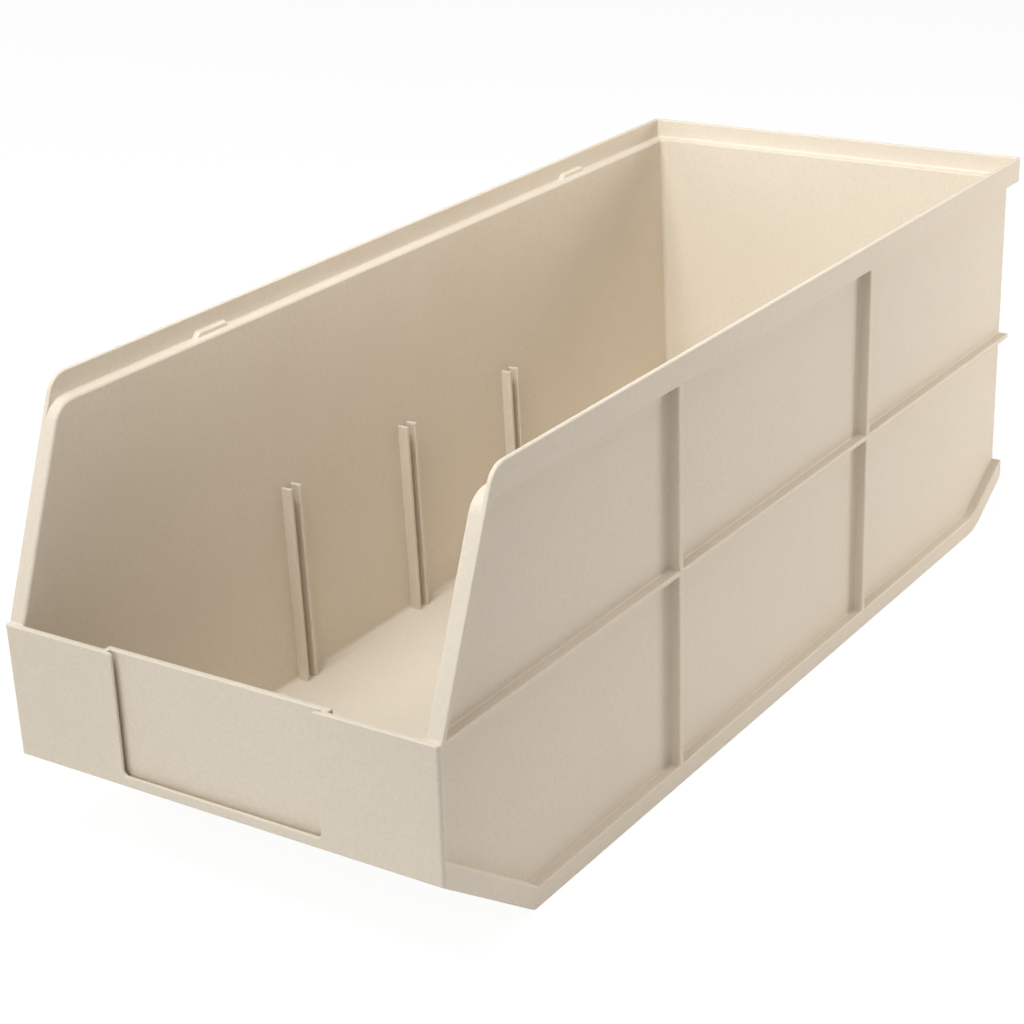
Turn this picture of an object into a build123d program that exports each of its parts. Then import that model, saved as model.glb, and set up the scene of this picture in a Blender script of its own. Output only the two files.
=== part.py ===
from build123d import *
from math import cos, hypot, radians, tan
import os

# Shelf bin with an open top and a low front, moulded in one piece. The moulding is
# divided into its named sections, which meet face to face. X runs to the right, Y to the
# rear and Z up, in millimetres, with the origin under the middle of the bin.

# Overall size
width = 210.0
length = 512.0
height = 188.0

# Thickness of each section
wall = 2.8
front_thickness = 2.8
floor_thickness = 3.0
flange_thickness = 2.4
ledge_thickness = 2.6
lip_thickness = 2.2
rib_thickness = 3.2
mid_rib_thickness = 2.4

# Rim: a ledge all round, with a lip that stands up from its outer edge
overhang = 4.8
lip_height = 9.5
rim_bend_radius = 13.0
band_bend_radius = 8.0
rim_corner_radius = 2.0

# Gap between this bin's base and the lips of the bin that it is stacked on
stack_clearance = 0.4

# Front wall, and the flange that leans back from it up to the rim
front_height = 97.2
front_base = 40.6
front_run = 57.8
front_bend_radius = 3.0
flange_lean = 22.4

# Recess for a card in the front wall, open at its top
label_width = 96.4
label_depth = 4.2
label_return = 3.0
sill_height = 4.0

# Base and rear
rear_run = 38.5
rear_angle = 30.4
rear_bend_radius = 31.0
rear_end_radius = 5.0
rear_lean = 2.0
base_band_height = 8.8

# Pair of upright ribs outside each side wall
rib_spacing = 172.0

# Pairs of small ribs inside each side wall, which hold a cross divider between them
guide_spacing = 88.0
guide_slot = 4.6
guide_thickness = 2.0
guide_depth = 5.0
guide_corner_radius = 2.5

# Lugs on the side ledges, which carry a bin stacked on top
lug_places = {"front": -124.0, "rear": 162.0}
lug_length = 21.0
lug_width = 2.6
lug_height = 3.0
lug_ramp = 4.0

# Heights, half-widths and depths that follow from the sizes above
ledge_top = height - lip_height
band_bottom = ledge_top - ledge_thickness
lip_inner = width / 2 - lip_thickness
base_half_width = lip_inner - stack_clearance
front = -length / 2
rear = length / 2
front_slope = front_base / front_run
rear_slope = tan(radians(rear_angle))
lean_slope = tan(radians(flange_lean))
flange_foot = front + front_thickness
flange_back = flange_foot + flange_thickness / cos(radians(flange_lean))
rim_bend_run = rim_bend_radius * tan(radians((90 - flange_lean) / 2))
rim_bend_start = ledge_top - rim_bend_run * cos(radians(flange_lean))
ramp_end = front + front_run
rear_bend_start = rear - rear_run - rear_bend_radius * tan(radians(rear_angle / 2))
label_back = front + label_depth + front_thickness
sill_top = front_base + sill_height

sides = {"left": -1, "right": 1}


def relief(z):
    """Half-width over ribs, bands and rim: it widens from the base up to the rim band."""
    return base_half_width + (width / 2 - base_half_width) * min(z / band_bottom, 1)


def outside(z):
    """Half-width over the outer faces of the side walls."""
    return relief(z) - overhang


def inside(z):
    """Half-width between the inner faces of the side walls."""
    return outside(z) - wall


def guide_tip(z):
    """Half-width between the tips of the divider guides."""
    return inside(z) - guide_depth


def lip_face(z):
    """Half-width between the inner faces of the side lips."""
    return lip_inner


def rear_outside(z):
    """Depth of the rear wall's outer face, which leans in towards the base."""
    return rear - overhang - rear_lean * (1 - min(z / band_bottom, 1))


def rear_inside(z):
    """Depth of the rear wall's inner face."""
    return rear_outside(z) - wall


def across(points, radii=0):
    """Solid with this outline of (y, z) points, running across the whole width."""
    outline = Plane.YZ * FilletPolyline(*points, radius=radii, close=True)
    return extrude(make_face(outline), amount=width, both=True)


def along(points, radii=0):
    """Solid with this outline of (x, z) points, running along the whole length."""
    outline = Plane.XZ * FilletPolyline(*points, radius=radii, close=True)
    return extrude(make_face(outline), amount=length, both=True)


def block(x, y, z):
    """Box between the low and high ends given for each axis."""
    size = [high - low for low, high in (x, y, z)]
    centre = [(low + high) / 2 for low, high in (x, y, z)]
    return Pos(*centre) * Box(*size)


def course(y, z):
    """Box across the whole width between two depths and two heights."""
    return block((-width, width), y, z)


def layer(side, inner, outer):
    """Upright layer along one side of the bin, between two half-widths."""
    levels = (0, band_bottom, height)
    rising = [(side * inner(z), z) for z in levels]
    falling = [(side * outer(z), z) for z in reversed(levels)]
    return along(rising + falling)


def core(half_width):
    """Solid across the middle of the bin, out to a half-width on both sides."""
    levels = (0, band_bottom, height)
    rising = [(half_width(z), z) for z in levels]
    falling = [(-half_width(z), z) for z in reversed(levels)]
    return along(rising + falling)


def above_base(inset):
    """All that lies above a line drawn inside the bottom outline by the given inset."""
    front_rise = inset * hypot(1, front_slope)
    rear_rise = inset * hypot(1, rear_slope)
    front_bend = front + (front_base + front_rise - inset) / front_slope
    rear_bend = rear - rear_run - (rear_rise - inset) / rear_slope
    taper = rear_lean / band_bottom
    end_rise = rear_slope * (rear_outside(0) - rear + rear_run) + rear_rise
    end_height = end_rise / (1 - rear_slope * taper)
    points = [
        (front, front_base + front_rise),
        (front_bend, inset),
        (rear_bend, inset),
        (rear_outside(end_height), end_height),
        (rear_outside(band_bottom), band_bottom),
        (front, band_bottom),
    ]
    bends = [front_bend_radius, rear_bend_radius, rear_end_radius]
    radii = [0] + [max(radius - inset, 0) for radius in bends] + [0, 0]
    return across(points, radii)


def under_rim(foot, top, bend_radius):
    """All that lies behind a line leaning back from the front wall and under a level top."""
    bend = foot + (top - front_height) * lean_slope
    points = [(foot, front_height), (bend, top), (rear, top), (rear, front_height)]
    return across(points, [0, bend_radius, 0, 0])


outline = above_base(0)
base_skin = outline - above_base(floor_thickness)
band_skin = outline - above_base(base_band_height)
below_rim = under_rim(flange_back, band_bottom, band_bend_radius)
behind_front = course((front, rear), (0, front_base)) + course(
    (flange_foot, rear), (front_base, front_height)
)
rim_skin = under_rim(flange_foot, ledge_top, rim_bend_radius) - below_rim
lip_skin = under_rim(flange_foot, height, rim_bend_radius) - below_rim


def base_sections():
    """Floor, the ramp that rises to the front wall and the one that rises to the rear."""
    rear_wall_space = across(
        [
            (rear_inside(0), 0),
            (rear_inside(band_bottom), band_bottom),
            (rear, band_bottom),
            (rear, 0),
        ]
    )
    skin = base_skin & core(inside)
    floor = skin & course((ramp_end, rear_bend_start), (0, floor_thickness))
    return {
        "floor_panel": floor,
        "front_ramp": skin & course((front, ramp_end), (0, front_base)),
        "rear_ramp": skin & course((rear_bend_start, rear), (0, height)) - rear_wall_space,
        "rear_wall": outline & core(inside) & rear_wall_space,
    }


def front_panel(side):
    """Front wall beside the label recess, with the return that carries the label panel."""
    edge = side * label_width / 2
    levels = (front_base, front_height)
    plate = along(
        [(edge, z) for z in levels] + [(side * relief(z), z) for z in reversed(levels)]
    )
    turn = sorted((edge, edge + side * label_return))
    return plate & course((front, flange_foot), levels) + block(
        turn, (front, label_back), levels
    )


def label_sections():
    """Set-back panel behind the card, and the sill that the card stands on."""
    span = (-label_width / 2, label_width / 2)
    return {
        "label_panel": block(span, (front + label_depth, label_back), (sill_top, front_height)),
        "label_sill": block(span, (front, label_back), (front_base, sill_top)),
    }


def side_wall(side):
    """Side wall between the front wall, the rim and the bottom outline."""
    return layer(side, inside, outside) & outline & (behind_front + below_rim)


def front_flange(side):
    """Sloping flange over the front edge of a side wall."""
    return (
        layer(side, inside, relief) & rim_skin & course((front, rear), (0, rim_bend_start))
    )


def side_ledge(side):
    """Ledge on top of a side wall, bent down at the front to meet the flange."""
    span = course((front, rear - lip_thickness), (rim_bend_start, height))
    return layer(side, inside, lip_face) & rim_skin & span


def side_lip(side):
    """Lip and rim band down the outer edge of a side ledge."""
    lip = (
        layer(side, lip_face, relief)
        & lip_skin
        & course((front, rear), (rim_bend_start, height))
    )
    corners = lip.edges().filter_by(Axis.Z).group_by(Axis.Y)[-1]
    outer = corners.sort_by(lambda edge: abs(edge.center().X))[-1]
    return fillet(outer, min(rim_corner_radius, lip_thickness * 0.95))


def rear_rim():
    """Ledge and lip along the rear wall, between the ones of the side walls."""
    half_ledge = inside(band_bottom)
    ledge_depth = (rear_inside(band_bottom), rear - lip_thickness)
    return {
        "rear_ledge": block(
            (-half_ledge, half_ledge), ledge_depth, (band_bottom, ledge_top)
        ),
        "rear_lip": block(
            (-lip_inner, lip_inner), (rear - lip_thickness, rear), (band_bottom, height)
        ),
    }


def mid_rib(side):
    """Level rib along the outside of a side wall, at the height of the front wall."""
    span = course((flange_foot, rear), (front_height - mid_rib_thickness, front_height))
    return layer(side, outside, relief) & outline & span


def base_band(side):
    """Band along the bottom of a side wall, which follows both ramps."""
    return layer(side, outside, relief) & band_skin & behind_front


def upright_rib(side, place):
    """Upright rib from the base band to the rim band, crossed by the mid rib."""
    span = (place - rib_thickness / 2, place + rib_thickness / 2)
    face = layer(side, outside, relief) & outline
    upper = face & course(span, (front_height, band_bottom))
    lower = face & course(span, (base_band_height, front_height - mid_rib_thickness))
    return Compound(children=[*lower.solids(), *upper.solids()])


def divider_guide(side, place):
    """Two small ribs on the inside of a side wall, with the slot for a divider between."""
    low, high = floor_thickness, front_height
    points = [
        (side * guide_tip(low), low),
        (side * guide_tip(high), high),
        (side * inside(high), high),
        (side * inside(low), low),
    ]
    rib = along(points, [0, guide_corner_radius, 0, 0])
    near = guide_slot / 2
    far = near + guide_thickness
    ribs = [rib & course((place - far, place - near), (low, high))]
    ribs.append(rib & course((place + near, place + far), (low, high)))
    return Compound(children=[solid for piece in ribs for solid in piece.solids()])


def stacking_lug(side, place):
    """Lug against the inner face of a side lip, with a ramp at its front end."""
    start = place - lug_length / 2
    end = place + lug_length / 2
    top = ledge_top + lug_height
    profile = [(start, ledge_top), (start + lug_ramp, top), (end, top), (end, ledge_top)]
    span = sorted((side * (lip_inner - lug_width), side * lip_inner))
    return across(profile) & block(span, (start, end), (ledge_top, top))


def side_sections(name, side):
    """All sections on one side of the bin, by name."""
    sections = {
        f"{name}_front_panel": front_panel(side),
        f"{name}_side_wall": side_wall(side),
        f"{name}_front_flange": front_flange(side),
        f"{name}_ledge": side_ledge(side),
        f"{name}_lip": side_lip(side),
        f"{name}_mid_rib": mid_rib(side),
        f"{name}_base_band": base_band(side),
    }
    for end, step in {"front": -1, "rear": 1}.items():
        sections[f"{name}_{end}_rib"] = upright_rib(side, step * rib_spacing / 2)
    for station, step in {"front": -1, "middle": 0, "rear": 1}.items():
        sections[f"{name}_{station}_divider_guide"] = divider_guide(
            side, step * guide_spacing
        )
    for end, place in lug_places.items():
        sections[f"{name}_{end}_stacking_lug"] = stacking_lug(side, place)
    return sections


sections = base_sections() | label_sections() | rear_rim()
for name, side in sides.items():
    sections |= side_sections(name, side)

os.makedirs("parts", exist_ok=True)
for name, section in sections.items():
    export_step(section, f"parts/{name}.step")
    print(name, len(section.solids()), round(section.volume, 1))
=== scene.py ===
# %% [markdown]
# A shelf bin, moulded in one shot in ivory plastic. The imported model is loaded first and
# stays fixed. Everything below is made around it, in metres, in the same place.

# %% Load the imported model
import math

import bmesh
import bpy
import numpy as np
from mathutils import Matrix, Vector


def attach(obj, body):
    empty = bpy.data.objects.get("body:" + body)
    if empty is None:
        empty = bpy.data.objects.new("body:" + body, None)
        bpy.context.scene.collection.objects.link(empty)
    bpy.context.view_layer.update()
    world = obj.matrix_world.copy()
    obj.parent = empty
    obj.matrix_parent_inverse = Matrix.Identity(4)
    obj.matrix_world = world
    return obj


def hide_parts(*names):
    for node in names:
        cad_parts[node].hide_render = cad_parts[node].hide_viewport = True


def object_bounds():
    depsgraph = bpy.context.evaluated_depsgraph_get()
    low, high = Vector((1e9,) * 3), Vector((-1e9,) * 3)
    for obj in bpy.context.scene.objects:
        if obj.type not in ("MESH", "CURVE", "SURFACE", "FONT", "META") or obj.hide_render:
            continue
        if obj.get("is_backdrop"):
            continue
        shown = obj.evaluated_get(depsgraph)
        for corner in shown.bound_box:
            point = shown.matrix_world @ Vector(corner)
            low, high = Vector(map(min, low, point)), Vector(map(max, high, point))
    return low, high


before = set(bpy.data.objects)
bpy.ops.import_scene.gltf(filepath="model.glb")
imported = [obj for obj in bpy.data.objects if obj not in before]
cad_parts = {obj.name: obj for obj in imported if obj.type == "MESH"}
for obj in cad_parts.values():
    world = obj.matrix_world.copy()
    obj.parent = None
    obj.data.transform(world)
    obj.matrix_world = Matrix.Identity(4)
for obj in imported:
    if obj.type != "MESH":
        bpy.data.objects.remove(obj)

MM = 0.001
scene = bpy.context.scene
cad_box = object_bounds()
print("nodes:", len(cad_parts), "box:", [tuple(corner) for corner in cad_box])

# %% [markdown]
# The picture looks down into the bin from the front right, through a long lens. A camera
# is a place, three turns and a lens. The turns are given one after another here: round
# the upright axis, then down, then a slight roll. The small shift only centres the bin.

# %% Camera
image_size = 1024
focal_pixels = 2368.0
camera_place = (0.5378, -0.8392, 0.4853)
yaw, pitch, roll = 0.5986, 0.3674, -0.0428

camera_data = bpy.data.cameras.new("camera")
camera_data.sensor_width = 36.0
camera_data.lens = focal_pixels * camera_data.sensor_width / image_size
camera_data.shift_y = -0.06
camera_data.clip_start, camera_data.clip_end = 0.01, 50.0
camera = bpy.data.objects.new("camera", camera_data)
camera.matrix_world = (
    Matrix.Translation(camera_place)
    @ Matrix.Rotation(yaw, 4, "Z")
    @ Matrix.Rotation(math.pi / 2 - pitch, 4, "X")
    @ Matrix.Rotation(roll, 4, "Z")
)
scene.collection.objects.link(camera)
scene.camera = camera
print("lens:", round(camera_data.lens, 1), "mm")

# %% [markdown]
# The sizes are those of the moulding, in millimetres. All walls are first made upright, so
# that faces that should lie in one plane really do. The slight slope that lets the bin
# leave its mould, called draft, is given to the whole skin afterwards.

# %% Sizes
width, length, height = 210.0, 512.0, 188.0
wall, front_thickness, floor_thickness = 2.8, 2.8, 3.0
overhang = 4.8
lip_height, lip_thickness, ledge_thickness = 9.5, 2.2, 2.6
front_base, front_height, front_run = 40.6, 97.2, 57.8
flange_lean, flange_thickness = math.radians(22.4), 2.4

relief = width / 2
outside = relief - overhang
inside = outside - wall
lip_inner = relief - lip_thickness
front, rear = -length / 2, length / 2
rear_outside = rear - overhang
rear_inside = rear_outside - wall
ledge_top = height - lip_height
band_bottom = ledge_top - ledge_thickness
lean_slope = math.tan(flange_lean)
flange_foot = front + front_thickness
flange_back = flange_foot + flange_thickness / math.cos(flange_lean)
print("half-widths:", relief, outside, inside, "rear faces:", rear_outside, rear_inside)

# %% [markdown]
# Seen from the side, every section of the bin is a flat outline with a few rounded bends.
# The bends could be drawn by hand as many points. Here a corner and a radius are enough,
# because the arc that touches both sides of a corner can be worked out for all at once.

# %% Outlines with rounded bends
def rounded(points, radii, steps=8):
    """Line of (y, z) points whose corners are rounded, as one array.

    Each corner has unit vectors to its two neighbours. The arc starts and ends at
    radius * tan(turn / 2) along them, and its centre lies on their bisector at
    radius / cos(turn / 2). The points between come from the two spokes, mixed by sines so
    that all keep the same length. A radius of 0 leaves the corner as it is.
    """
    corner = np.array(points, float)
    radius = np.array(radii, float)[:, None]
    before, after = np.roll(corner, 1, 0) - corner, np.roll(corner, -1, 0) - corner
    before /= np.linalg.norm(before, axis=1)[:, None]
    after /= np.linalg.norm(after, axis=1)[:, None]
    opening = np.arccos(np.clip((before * after).sum(1), -1, 1))[:, None]
    turn = np.maximum(math.pi - opening, 1e-6)
    bisector = before + after
    bisector /= np.maximum(np.linalg.norm(bisector, axis=1)[:, None], 1e-9)
    centre = corner + bisector * radius / np.cos(turn / 2)
    start = corner + before * radius * np.tan(turn / 2) - centre
    end = corner + after * radius * np.tan(turn / 2) - centre
    step = np.linspace(0, 1, steps + 1)[None, :, None]
    angle = turn[:, :, None]
    spokes = np.sin((1 - step) * angle) * start[:, None] + np.sin(step * angle) * end[:, None]
    arcs = centre[:, None] + spokes / np.sin(angle)
    line = np.where(radius[:, :, None] > 0, arcs, corner[:, None]).reshape(-1, 2)
    return line[np.linalg.norm(line - np.roll(line, 1, 0), axis=1) > 1e-6]


square = rounded([(0, 0), (9, 0), (9, 9), (0, 9)], [2, 2, 2, 2])
print("a rounded square has", len(square), "points")

# %% [markdown]
# A section is then a slab: the outline, carried straight across the bin. The bin is the
# same on both sides, so most slabs are made in pairs.

# %% Slabs
sections = []


def slab(name, outline, low, high, forward=False):
    """Closed solid: an outline of (y, z) points, carried from x = low to x = high.

    One that is carried forward instead has an outline of (z, x) points, and runs from
    y = low to y = high. The outline is made to run anticlockwise, so that all faces point
    outwards.
    """
    first, second = np.array(outline, float).T
    if (first * np.roll(second, -1) - np.roll(first, -1) * second).sum() < 0:
        first, second = first[::-1], second[::-1]
    count = len(first)
    rims = [np.column_stack([np.full(count, place), first, second]) for place in (low, high)]
    corners = np.roll(np.vstack(rims), 1 if forward else 0, axis=1)
    here = np.arange(count)
    after = np.roll(here, -1)
    band = np.column_stack([here, after, after + count, here + count]).tolist()
    caps = [here[::-1].tolist(), (here + count).tolist()]
    mesh = bpy.data.meshes.new(name)
    mesh.from_pydata((corners * MM).tolist(), [], band + caps)
    sections.append(bpy.data.objects.new(name, mesh))


def side_slabs(name, outline, inner, outer):
    """The same slab on both sides of the bin, between two half-widths."""
    slab("left_" + name, outline, -outer, -inner)
    slab("right_" + name, outline, inner, outer)


def middle_slab(name, outline, half_width):
    """A slab across the middle of the bin."""
    slab(name, outline, -half_width, half_width)


def block(y, z):
    """Corners of a rectangle between two depths and two heights."""
    return [(y[0], z[0]), (y[1], z[0]), (y[1], z[1]), (y[0], z[1])]


# %% [markdown]
# The floor is one sheet with the two ramps, bent up into the front and rear walls. Its top
# line is its bottom line moved inwards by the thickness, corner by corner, so that each
# bend keeps its centre. The band along the foot of each side is made from the same lines.

# %% Floor, ramps and base bands
front_slope = front_base / front_run
rear_bend, rear_slope = 217.9, 0.5622
bend_radii = (3.0, 31.0, 5.0)


def base_line(inset):
    """Corners and radii of the bottom line, from front to rear, moved in by the inset.

    A sloping line moved in by the inset rises by inset * sqrt(1 + slope^2). Each corner is
    where two moved lines meet, and each radius is smaller by the inset.
    """
    front_rise = inset * math.hypot(1, front_slope)
    rear_rise = inset * math.hypot(1, rear_slope)
    front_corner = front + (front_base + front_rise - inset) / front_slope
    rear_corner = rear_bend - (rear_rise - inset) / rear_slope
    end = rear_slope * (rear_outside - rear_bend) + rear_rise
    corners = [(front, front_base + front_rise), (front_corner, inset), (rear_corner, inset)]
    return corners + [(rear_outside, end)], [max(radius - inset, 0) for radius in bend_radii]


upturn = 40.0
low_corners, low_radii = base_line(0.0)
low_line = rounded(low_corners + [(rear_outside, upturn)], [0, *low_radii, 0])
floor_corners, floor_radii = base_line(floor_thickness)
inner_end = floor_corners[3][1] - rear_slope * wall
floor_line = rounded(floor_corners[:3] + [(rear_inside, inner_end)], [0, *floor_radii[:2], 0])
floor_outline = [*low_line, (rear_inside, upturn), *floor_line[::-1]]
middle_slab("floor", floor_outline, outside)

band_corners, band_radii = base_line(8.8)
band_line = rounded(band_corners, [0, *band_radii[:2], 0])
side_slabs("base_band", [*low_line[:-1], *band_line[::-1]], outside - 1.2, relief)
print("floor outline:", len(floor_outline), "points")

# %% [markdown]
# Each side wall reaches from the bottom line to the middle of the rim. Its other edges end
# inside the sections that they meet, because solids that overlap join cleanly.

# %% Side walls
wall_top, wall_foot = ledge_top - 1.3, flange_foot + 1.3
wall_edge = rounded(
    [
        (rear_outside, wall_top),
        (wall_foot + (wall_top - front_height) * lean_slope, wall_top),
        (wall_foot, front_height - 1),
        (front + 1.4, front_height - 1),
        (front + 1.4, front_base + 1),
    ],
    [0, 10.5, 0, 0, 0],
)
side_slabs("wall", [*low_line, *wall_edge], inside, outside)

# %% [markdown]
# The rim is a narrow ledge all round with a lip that stands up from its outer edge. At the
# front both bend down into a flange that leans back from the front wall. The ledge bends
# first, so the lip's inner face runs out to a point where the two part. Both layers use
# the very same points where they share a line, and so meet without a gap.

# %% Flange, ledge and lip
ledge_radius, lip_radius, band_radius = 12.0, 10.5, 8.0
foot_line = [(flange_foot, front_height - 1.5), (flange_foot, front_height)]


def leaning(foot, z):
    """Point at this height on a line that leans back from a foot at the front wall's top."""
    return (foot + (z - front_height) * lean_slope, z)


under_line = rounded(
    [
        (rear - 1, band_bottom),
        leaning(flange_back, band_bottom),
        (flange_back, front_height),
        (flange_back, front_height - 1.5),
    ],
    [0, band_radius, 0, 0],
)
ledge_line = rounded(
    [foot_line[1], leaning(flange_foot, ledge_top), (rear - 1, ledge_top)], [0, ledge_radius, 0]
)
lip_line = rounded(
    [ledge_line[1], leaning(flange_foot, height), (rear, height), (rear, band_bottom)],
    [0, lip_radius, 0, 0],
)
rim_bend_start = ledge_line[1][1]
side_slabs("ledge", [foot_line[0], *ledge_line, *under_line], inside, lip_inner)
side_slabs("lip", [*foot_line, *lip_line, *under_line], lip_inner, relief)
print("the ledge's bend starts at", round(rim_bend_start, 1), "mm")

# %% [markdown]
# The front wall has a recess for a card, open at its top. The card slides down behind a
# thin frame, in a groove at each side, and stands in a slot at the foot. The panel behind
# it is set back by more than a wall, so a short return on each side carries it.

# %% Front wall
label_half, label_depth, frame_thickness = 48.2, 3.1, 1.3
groove, sill_height, slot_depth, opening_radius = 2.8, 4.4, 2.4, 2.2
label_back = front + label_depth + front_thickness
front_levels = (front_base, front_height)
groove_half = label_half + groove
returned = groove_half + wall
side_slabs("panel", block((front, flange_foot), front_levels), groove_half, relief)
side_slabs("return", block((front, label_back), front_levels), groove_half, returned)
middle_slab("label", block((front + label_depth, label_back), front_levels), groove_half + 1)
slot_levels = (front_base, front_base + sill_height - slot_depth)
middle_slab("sill", block((front, label_back - 1), slot_levels), groove_half + 1)
opening = [(front_height, label_half), (front_base + sill_height, label_half)]
opening += [(level, -place) for level, place in opening[::-1]]
outer = [(front_height, -groove_half - 1), (front_base, -groove_half - 1)]
outer += [(level, -place) for level, place in outer[::-1]]
frame_line = rounded(opening + outer, [1.5, opening_radius, opening_radius, 1.5, 0, 0, 0, 0])
slab("frame", frame_line, front, front + frame_thickness, forward=True)

# %% [markdown]
# The rear wall closes the far end. The rim hangs over it, so the hand finds an edge to
# pull the bin by.

# %% Rear wall and its rim
rear_rim = lip_inner + 1
middle_slab("rear_wall", block((rear_inside, rear_outside), (30.0, 177.0)), outside)
middle_slab("rear_ledge", block((rear_inside, rear - 1), (band_bottom, ledge_top)), rear_rim)
middle_slab("rear_lip", block((rear - lip_thickness, rear), (band_bottom, height)), rear_rim)

# %% [markdown]
# Ribs outside keep the long walls straight: two uprights and one level rib on each side.
# They stand as far out as the rim and the base band, so a row of bins touches along them.

# %% Outer ribs
rib_places, rib_half, mid_rib = (-86.0, 86.0), 1.6, 2.4
for place in rib_places:
    upright = block((place - rib_half, place + rib_half), (4.0, 177.0))
    side_slabs("rib", upright, outside - 1, relief)
mid_levels = (front_height - mid_rib, front_height)
side_slabs("mid_rib", block((flange_foot - 1, rear_outside), mid_levels), outside - 1, relief)

# %% [markdown]
# Inside, three pairs of small ribs on each wall hold cross dividers. A divider slides down
# between the two of a pair.

# %% Divider guides
guide_places, guide_gap, guide_thickness, guide_depth = (-88.0, 0.0, 88.0), 2.3, 2.0, 5.0
for place in guide_places:
    for side in (-1, 1):
        near, far = place + side * guide_gap, place + side * (guide_gap + guide_thickness)
        rib = block((near, far), (1.5, front_height))
        side_slabs("guide", rib, inside - guide_depth, inside + 1)

# %% [markdown]
# Four lugs stand on the side ledges against the lips. The base of a bin stacked on top
# rests on them, and the sloping front end lets it slide on.

# %% Stacking lugs
lug_places, lug_half, lug_width, lug_height, lug_ramp = (-124.0, 162.0), 10.5, 2.6, 2.2, 3.0
for place in lug_places:
    start, end, top = place - lug_half, place + lug_half, ledge_top + lug_height
    lug = [(start, ledge_top), (start + lug_ramp, top), (end, top)]
    lug += [(end, ledge_top - 1.5), (start, ledge_top - 1.5)]
    side_slabs("lug", lug, lip_inner - lug_width, lip_inner + 1)
print(len(sections), "sections")

# %% [markdown]
# The real bin is one skin of plastic, with no seam between wall and rib. A Boolean
# modifier set to Union makes one closed skin of all the slabs, and leaves out what lies
# inside. All the other slabs are handed to it at once, in a collection.

# %% One skin
body = sections[0]
scene.collection.objects.link(body)
others = bpy.data.collections.new("sections")
scene.collection.children.link(others)
for section in sections[1:]:
    others.objects.link(section)
union = body.modifiers.new("union", "BOOLEAN")
union.operation, union.operand_type, union.solver = "UNION", "COLLECTION", "EXACT"
union.collection = others


def finished(piece):
    """Mesh of a piece with its modifiers applied."""
    shown = piece.evaluated_get(bpy.context.evaluated_depsgraph_get())
    return bpy.data.meshes.new_from_object(shown)


skin = finished(body)
for section in sections:
    bpy.data.objects.remove(section)
bpy.data.collections.remove(others)
print("skin:", len(skin.vertices), "vertices,", len(skin.polygons), "faces")

# %% [markdown]
# The union leaves edges in the middle of flat faces, where two slabs lay side by side.
# They would pull a bevel out of line, so they are dissolved. A face can't have a hole, so
# the net of ribs is first cut by two level planes, which cross every rib at right angles.
# The lip's inner face is cut at three levels, so that its radius can shrink to a point.

# %% Clean faces
flat_angle = math.radians(0.3)
net = bmesh.new()
net.from_mesh(skin)
bmesh.ops.remove_doubles(net, verts=net.verts, dist=2e-6)
bmesh.ops.dissolve_limit(net, angle_limit=flat_angle, verts=net.verts, edges=net.edges)


def score(net, level, faces):
    """Divides these faces along a level plane, and marks the new edges as seams."""
    edges = {edge for face in faces for edge in face.edges}
    verts = {vert for face in faces for vert in face.verts}
    made = bmesh.ops.bisect_plane(
        net,
        geom=[*verts, *edges, *faces],
        dist=1e-7,
        plane_co=(0, 0, level * MM),
        plane_no=(0, 0, 1),
    )
    for item in made["geom_cut"]:
        if isinstance(item, bmesh.types.BMEdge):
            item.seam = True


for level in (70.0, 135.0):
    score(net, level, list(net.faces))
bmesh.ops.dissolve_limit(
    net, angle_limit=flat_angle, verts=net.verts, edges=net.edges, delimit={"SEAM"}
)
for level in (172.5, 174.5, 176.5):
    inner = [
        face
        for face in net.faces
        if abs(abs(face.calc_center_median().x) - lip_inner * MM) < 1e-5 and face.normal.z < 0.1
    ]
    score(net, level, [face for face in inner if min(v.co.y for v in face.verts) < -0.2])
open_edges = sum(not edge.is_manifold for edge in net.edges)
print("clean skin:", len(net.faces), "faces,", open_edges, "open edges")
net.to_mesh(skin)
net.free()

# %% [markdown]
# No edge of a moulding is sharp. Outer edges have a small radius, the roots of ribs have
# one so that the plastic flows into them, and the corners where goods lie are softer
# still. A bevel weight on each edge says how large its radius is.

# %% How sharp each edge is
largest_radius = 4.0
points = np.empty((len(skin.vertices), 3))
skin.vertices.foreach_get("co", points.ravel())
points /= MM
ends = np.empty((len(skin.edges), 2), int)
skin.edges.foreach_get("vertices", ends.ravel())
normals = np.empty((len(skin.polygons), 3))
skin.polygons.foreach_get("normal", normals.ravel())
corner_edge = np.empty(len(skin.loops), int)
corner_start = np.empty(len(skin.loops), int)
skin.loops.foreach_get("edge_index", corner_edge)
skin.loops.foreach_get("vertex_index", corner_start)
sizes = np.empty(len(skin.polygons), int)
skin.polygons.foreach_get("loop_total", sizes)
corner_face = np.repeat(np.arange(len(sizes)), sizes)
order = np.argsort(corner_edge, kind="stable").reshape(-1, 2)
first, second = normals[corner_face[order[:, 0]]], normals[corner_face[order[:, 1]]]
along = points[ends[:, 1]] - points[ends[:, 0]]
along /= np.linalg.norm(along, axis=1)[:, None]
forward = np.where(corner_start[order[:, 0]] == ends[:, 0], 1, -1)
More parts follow.
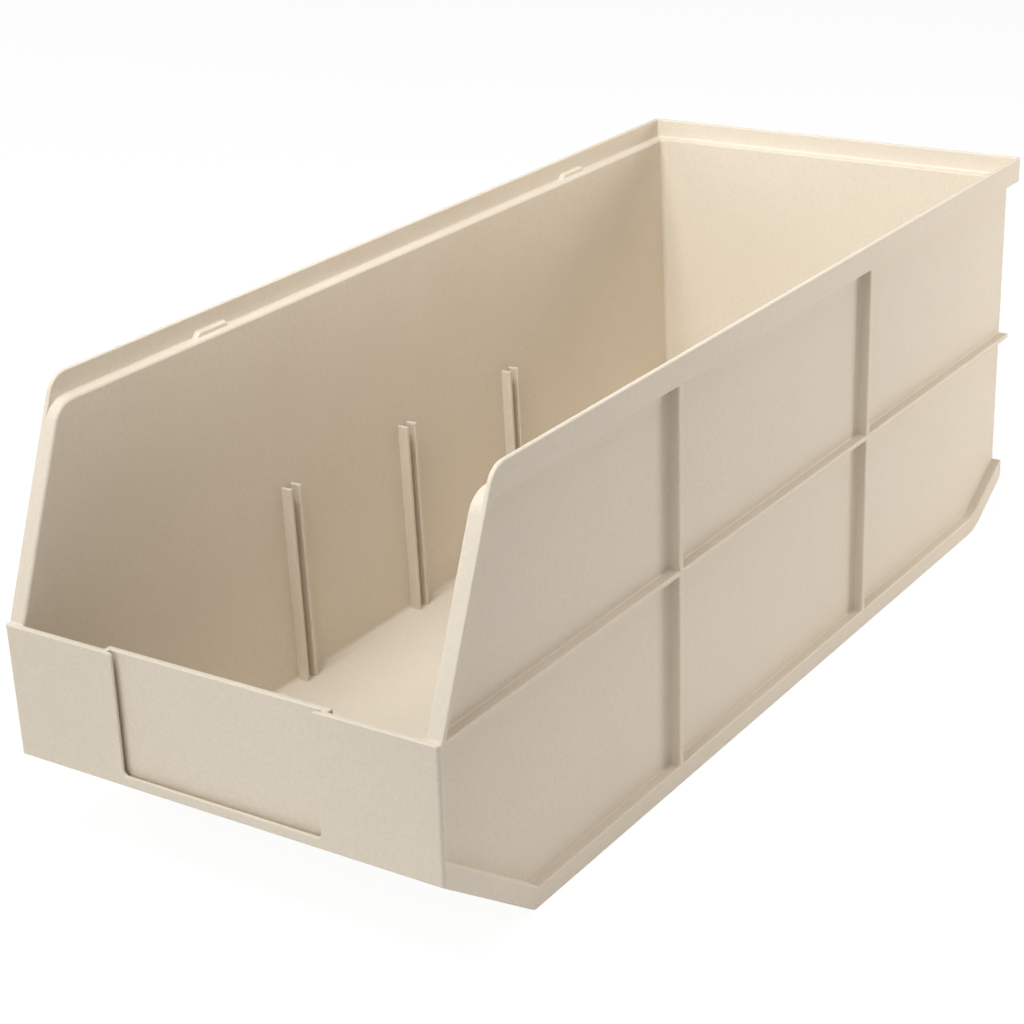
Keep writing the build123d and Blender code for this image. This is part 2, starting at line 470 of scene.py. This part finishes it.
# An edge juts out where the cross product of its two normals runs along it.
juts_out = (np.cross(first, second) * along).sum(1) * forward > 0
bend = np.degrees(np.arccos(np.clip((first * second).sum(1), -1, 1)))
middles = (points[ends[:, 0]] + points[ends[:, 1]]) / 2
x, y, z = np.abs(middles[:, 0]), middles[:, 1], middles[:, 2]
up, across = np.abs(along[:, 2]), np.abs(along[:, 0])
on_inner_face = np.abs(x - inside) < 0.1
on_lip_front = (np.abs(x - lip_inner) < 0.05) & (y < -205) & (z > 170) & (z < 180)
bent_along = np.maximum(z - rim_bend_start, 0) / math.cos(flange_lean)
pocket = ledge_radius * (1 - np.cos(bent_along / ledge_radius))
guide_root = np.zeros(len(x), bool)
for place in guide_places:
    guide_root |= (np.abs(y - place) < 4.6) & (np.abs(y - place) > 2.2) & (x < inside + 0.1)
depth = y - front
slot = (x < groove_half + 0.1) & (abs(depth - 1.7) < 1.5) & (z > front_base + 1)
front_corner = (np.abs(x - relief) < 0.3) & (depth < 0.1) & (up > 0.9)
ledge_edge = on_inner_face & (z > front_height + 1)
band_end = (x > outside) & (across > 0.95) & (np.abs(y - rear_outside) < 0.3) & (z > 22) & (z < 45)
panel_top = (x < 1) & (y > front + label_depth - 0.1) & (z > front_height - 1)
radii = np.select(
    [
        bend < 14,
        slot & ~panel_top,
        on_lip_front,
        juts_out & front_corner,
        juts_out & ledge_edge,
        juts_out & band_end,
        juts_out & (np.abs(x - width / 2) < 0.3) & (y > rear - 0.3) & (up > 0.9),
        juts_out & guide_root,
        ~juts_out & guide_root & (z < front_height),
        ~juts_out & on_inner_face & (up < 0.7) & (z < 45),
        ~juts_out & on_inner_face & (up > 0.9) & (y > 200),
        ~juts_out & (across > 0.95) & (y > 225) & (z > 15) & (z < 35),
    ],
    [0.0, 0.35, np.minimum(0.3 * pocket, 0.6), 1.5, 1.4, 1.8, 2.0, 0.45, 0.0, 2.5, 2.5, 2.5],
    0.7,
)
weights = skin.attributes.new("bevel_weight_edge", "FLOAT", "EDGE")
weights.data.foreach_set("value", radii / largest_radius)
print("rounded edges:", int((radii > 0).sum()), "of", len(radii))

# %% [markdown]
# The Bevel modifier then rounds each edge by its weight. Its faces are shaded smooth, and
# a face that meets another at a real angle keeps a sharp line, so that flats stay flat.

# %% Rounded edges
rounding = bpy.data.objects.new("rounding", skin)
scene.collection.objects.link(rounding)
bevel = rounding.modifiers.new("rounding", "BEVEL")
bevel.limit_method, bevel.width, bevel.segments = "WEIGHT", largest_radius * MM, 4
bevel.use_clamp_overlap, bevel.loop_slide = False, False
rounded_skin = finished(rounding)
bpy.data.objects.remove(rounding)
print("rounded skin:", len(rounded_skin.polygons), "faces")

# %% [markdown]
# Now the draft. The sides come in by 2.6 mm from the rim to the base, and the rear wall by
# 2 mm. Every point of the skin is moved at once, and the middle of the bin stays in place.

# %% Draft
side_draft, rear_draft = 2.6, 2.0
points = np.empty((len(rounded_skin.vertices), 3))
rounded_skin.vertices.foreach_get("co", points.ravel())
x, y, z = points.T / MM
nearness = np.clip((np.abs(x) - 60) / 30, 0, 1)
x -= np.sign(x) * side_draft * (1 - z / height) * nearness
nearness = np.clip((y - 209) / (rear_outside - 209), 0, 1)
y -= rear_draft * np.maximum(1 - z / band_bottom, 0) * nearness
rounded_skin.vertices.foreach_set("co", (np.column_stack([x, y, z]) * MM).ravel())
rounded_skin.update()
print("base is", round(2 * np.abs(x[z < 1]).max(), 1), "mm wide")

# %% [markdown]
# To be handled as parts, the skin is divided by planes into the base, the two sides, the
# front wall and the rear. Each cut runs across flat faces and is closed, so every part is
# a solid of its own and no seam shows between two of them.

# %% Parts of the moulding
def cut_from(mesh, name, planes):
    """Closed part of a mesh that lies on the positive side of every plane.

    A plane is a point in millimetres and a direction. What lies behind is cleared, and
    the open edge is filled with one flat face.
    """
    part = bmesh.new()
    part.from_mesh(mesh)
    for point, direction in planes:
        made = bmesh.ops.bisect_plane(
            part,
            geom=part.verts[:] + part.edges[:] + part.faces[:],
            dist=1e-7,
            plane_co=Vector(point) * MM,
            plane_no=direction,
            clear_inner=True,
        )
        rim = [item for item in made["geom_cut"] if isinstance(item, bmesh.types.BMEdge)]
        filled = bmesh.ops.edgenet_fill(part, edges=[e for e in rim if e.is_boundary])
        for face in filled["faces"]:
            if face.normal.dot(Vector(direction)) > 0:
                face.normal_flip()
    for face in part.faces:
        face.smooth = True
    piece_mesh = bpy.data.meshes.new(name)
    part.to_mesh(piece_mesh)
    closed = all(edge.is_manifold for edge in part.edges)
    print(name, len(part.faces), "faces, closed:", closed, round(part.calc_volume() * 1e6, 1))
    part.free()
    piece_mesh.set_sharp_from_angle(angle=math.radians(40))
    piece = bpy.data.objects.new(name, piece_mesh)
    scene.collection.objects.link(piece)
    flats = piece.modifiers.new("flats", "WEIGHTED_NORMAL")
    flats.keep_sharp = True
    return piece


side_cut, front_cut, rear_cut = 88.0, -240.0, 60.0
middle = [((-side_cut, 0, 0), (1, 0, 0)), ((side_cut, 0, 0), (-1, 0, 0))]
left_side = cut_from(rounded_skin, "left_side", [((-side_cut, 0, 0), (-1, 0, 0))])
right_side = cut_from(rounded_skin, "right_side", [((side_cut, 0, 0), (1, 0, 0))])
front_wall = cut_from(rounded_skin, "front_wall", middle + [((0, front_cut, 0), (0, -1, 0))])
rest = middle + [((0, front_cut, 0), (0, 1, 0))]
base = cut_from(rounded_skin, "base", rest + [((0, 0, rear_cut), (0, 0, -1))])
rear_part = cut_from(rounded_skin, "rear", rest + [((0, 0, rear_cut), (0, 0, 1))])

# %% [markdown]
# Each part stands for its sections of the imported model, which are then hidden. Nothing on
# the bin moves, so all of them ride on the one body, and they share its finish.

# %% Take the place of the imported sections
parts = {
    base: ["floor_panel", "front_ramp", "rear_ramp"],
    front_wall: ["left_front_panel", "right_front_panel", "label_panel", "label_sill"],
    rear_part: ["rear_wall", "rear_ledge", "rear_lip"],
}
taken = {node for nodes in parts.values() for node in nodes}
for part, side in ((left_side, "left_"), (right_side, "right_")):
    parts[part] = [n for n in sorted(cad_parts) if n.startswith(side) and n not in taken]
for part, nodes in parts.items():
    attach(part, "root")
    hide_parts(*nodes)
    print(part.name, "stands for", len(nodes), "nodes")

# %% [markdown]
# The plastic is matt ivory, with a fine grain from the spark-worn mould and a very slight
# unevenness of tone. Both are worked out in node groups from the object's own
# coordinates, so they stay put on the piece.

# %% Effects
def new_group(name, inputs, outputs):
    """Shader node group with these float inputs and their defaults, and float outputs."""
    group = bpy.data.node_groups.new(name, "ShaderNodeTree")
    for title, value in inputs.items():
        socket = group.interface.new_socket(title, in_out="INPUT", socket_type="NodeSocketFloat")
        socket.default_value = value
    for title in outputs:
        group.interface.new_socket(title, in_out="OUTPUT", socket_type="NodeSocketFloat")
    return group, group.nodes.new("NodeGroupInput"), group.nodes.new("NodeGroupOutput")


def object_noise(tree, scale, detail, roughness=0.5):
    """Noise on Object coordinates, with the scale in cycles per metre."""
    place = tree.nodes.new("ShaderNodeTexCoord")
    noise = tree.nodes.new("ShaderNodeTexNoise")
    noise.inputs["Detail"].default_value = detail
    noise.inputs["Roughness"].default_value = roughness
    if hasattr(scale, "links") or hasattr(scale, "is_linked"):
        tree.links.new(scale, noise.inputs["Scale"])
    else:
        noise.inputs["Scale"].default_value = scale
    tree.links.new(place.outputs["Object"], noise.inputs["Vector"])
    return noise.outputs["Fac"]


grain, grain_in, grain_out = new_group("mould_grain", {"Scale": 900.0}, ["Height"])
grain.links.new(
    object_noise(grain, grain_in.outputs["Scale"], 3.0), grain_out.inputs["Height"]
)
tone, tone_in, tone_out = new_group("uneven_tone", {"Scale": 14.0}, ["Value"])
tone.links.new(object_noise(tone, tone_in.outputs["Scale"], 4.0), tone_out.inputs["Value"])

# %% [markdown]
# The material mixes two close ivories by the uneven tone, and lets the same value move
# the roughness a little. The grain goes into a Bump node, since it is far too fine to be
# modelled. It also makes its own hollows a touch darker, as a matt surface does, because
# they hold a little shade that a bump alone can't give.

# %% Ivory plastic
ivory = bpy.data.materials.new("ivory_plastic")
ivory.use_nodes = True
tree = ivory.node_tree
shader = tree.nodes["Principled BSDF"]
shader.inputs["IOR"].default_value = 1.49
shader.inputs["Specular IOR Level"].default_value = 0.35


def use_group(tree, group, **values):
    """A group placed in a material, with its own values."""
    node = tree.nodes.new("ShaderNodeGroup")
    node.node_tree = group
    for title, value in values.items():
        node.inputs[title].default_value = value
    return node


mottle = use_group(tree, tone, Scale=14.0)
ramp = tree.nodes.new("ShaderNodeValToRGB")
ramp.color_ramp.elements[0].position, ramp.color_ramp.elements[1].position = 0.3, 0.7
ramp.color_ramp.elements[0].color = (0.700, 0.618, 0.507, 1)
ramp.color_ramp.elements[1].color = (0.725, 0.643, 0.532, 1)
tree.links.new(mottle.outputs["Value"], ramp.inputs["Fac"])
gloss = tree.nodes.new("ShaderNodeMapRange")
gloss.inputs["To Min"].default_value, gloss.inputs["To Max"].default_value = 0.46, 0.56
tree.links.new(mottle.outputs["Value"], gloss.inputs["Value"])
tree.links.new(gloss.outputs["Result"], shader.inputs["Roughness"])
spark = use_group(tree, grain, Scale=900.0)
hollow = tree.nodes.new("ShaderNodeMapRange")
hollow.inputs["From Min"].default_value, hollow.inputs["From Max"].default_value = 0.3, 0.7
hollow.inputs["To Min"].default_value, hollow.inputs["To Max"].default_value = 0.965, 1.035
tree.links.new(spark.outputs["Height"], hollow.inputs["Value"])
shade = tree.nodes.new("ShaderNodeVectorMath")
shade.operation = "SCALE"
tree.links.new(ramp.outputs["Color"], shade.inputs["Vector"])
tree.links.new(hollow.outputs["Result"], shade.inputs["Scale"])
tree.links.new(shade.outputs["Vector"], shader.inputs["Base Color"])
bump = tree.nodes.new("ShaderNodeBump")
bump.inputs["Strength"].default_value = 0.25
bump.inputs["Distance"].default_value = 0.0004
tree.links.new(spark.outputs["Height"], bump.inputs["Height"])
tree.links.new(bump.outputs["Normal"], shader.inputs["Normal"])
for part in parts:
    part.data.materials.append(ivory)

# %% [markdown]
# The studio is a white floor without an end and a white surround. Both are plain white to
# the camera and to reflections, and light the bin only as much as its colour needs. The
# floor is part white light and part matt, so that it still takes the bin's shadow.

# %% Studio
def seen_directly(tree):
    """1 for rays from the camera and for reflections, and 0 for light that bounces."""
    path = tree.nodes.new("ShaderNodeLightPath")
    either = tree.nodes.new("ShaderNodeMath")
    either.operation = "MAXIMUM"
    tree.links.new(path.outputs["Is Camera Ray"], either.inputs[0])
    tree.links.new(path.outputs["Is Glossy Ray"], either.inputs[1])
    return either.outputs["Value"]


floor_mesh = bpy.data.meshes.new("studio_floor")
reach = 4.0
corners = [(-reach, -reach), (reach, -reach), (reach, reach), (-reach, reach)]
floor_mesh.from_pydata([(x, y, -0.0003) for x, y in corners], [], [(0, 1, 2, 3)])
studio_floor = bpy.data.objects.new("studio_floor", floor_mesh)
scene.collection.objects.link(studio_floor)
studio_floor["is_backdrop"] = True
paper = bpy.data.materials.new("white_paper")
paper.use_nodes = True
tree = paper.node_tree
matt = tree.nodes["Principled BSDF"]
matt.inputs["Base Color"].default_value = (0.9, 0.9, 0.9, 1)
matt.inputs["Roughness"].default_value = 0.9
glow = tree.nodes.new("ShaderNodeEmission")
glow.inputs["Strength"].default_value = 1.06
part_white = tree.nodes.new("ShaderNodeMixShader")
share = tree.nodes.new("ShaderNodeMath")
share.operation = "MULTIPLY"
share.inputs[1].default_value = 0.88
tree.links.new(seen_directly(tree), share.inputs[0])
tree.links.new(share.outputs["Value"], part_white.inputs["Fac"])
tree.links.new(matt.outputs["BSDF"], part_white.inputs[1])
tree.links.new(glow.outputs["Emission"], part_white.inputs[2])
tree.links.new(part_white.outputs["Shader"], tree.nodes["Material Output"].inputs["Surface"])
floor_mesh.materials.append(paper)

surround = bpy.data.worlds.new("surround")
surround.use_nodes = True
tree = surround.node_tree
background = tree.nodes["Background"]
background.inputs["Color"].default_value = (1, 1, 1, 1)
strength = tree.nodes.new("ShaderNodeMapRange")
strength.inputs["To Min"].default_value, strength.inputs["To Max"].default_value = 0.10, 1.0
tree.links.new(seen_directly(tree), strength.inputs["Value"])
tree.links.new(strength.outputs["Result"], background.inputs["Strength"])
scene.world = surround
scene.view_settings.view_transform = "Standard"

# %% [markdown]
# Seven soft lamps do the rest. One above the front edge is aimed into the bin, at its rear
# wall, and is a little cool. Two warmer ones stand low on the right. The nearer is behind,
# so that side is brighter towards the rear and each rib throws a short shadow forwards.
# One high on the right lights the tops of the ribs, and one in front, just outside the
# side wall's plane, their front faces. Weak ones on the left fill in.

# %% Lamps
def soft_lamp(name, place, size, power, tint=(1, 1, 1), target=(0, 0, 0.1), spread=180.0):
    """Square area lamp that faces a target, with its beam narrowed to a spread angle."""
    light = bpy.data.lights.new(name, "AREA")
    light.size, light.energy, light.color = size, power, tint
    light.spread = math.radians(spread)
    lamp = bpy.data.objects.new(name, light)
    lamp.location = place
    lamp.rotation_mode = "QUATERNION"
    lamp.rotation_quaternion = (Vector(target) - Vector(place)).to_track_quat("-Z", "Y")
    scene.collection.objects.link(lamp)
    return lamp


warm, cool = (1.0, 0.94, 0.88), (0.94, 0.98, 1.0)
soft_lamp("inside", (-0.05, -0.5, 1.0), 0.5, 2.65, cool, (0.0, 0.26, 0.08), 80.0)
soft_lamp("above_right", (0.6, 0.0, 1.6), 0.6, 4.2)
soft_lamp("near_right", (0.70, 0.82, 0.35), 0.4, 4.8, warm)
soft_lamp("far_right", (2.2, 0.2, 0.35), 0.8, 3.6, warm)
soft_lamp("front_left", (-0.7, -1.75, 0.6), 0.8, 6.4, (1.0, 0.97, 0.94))
soft_lamp("front_right", (0.35, -2.4, 0.5), 0.6, 5.5, (1.0, 0.97, 0.94))
soft_lamp("left", (-2.0, 0.0, 0.9), 0.8, 15.0)

# %% [markdown]
# Last, the box of what was made is set beside the box of the imported model.

# %% Box of what was made
sizes = {"cad": cad_box, "visual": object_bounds()}
print("visual box:", [tuple(corner) for corner in sizes["visual"]])
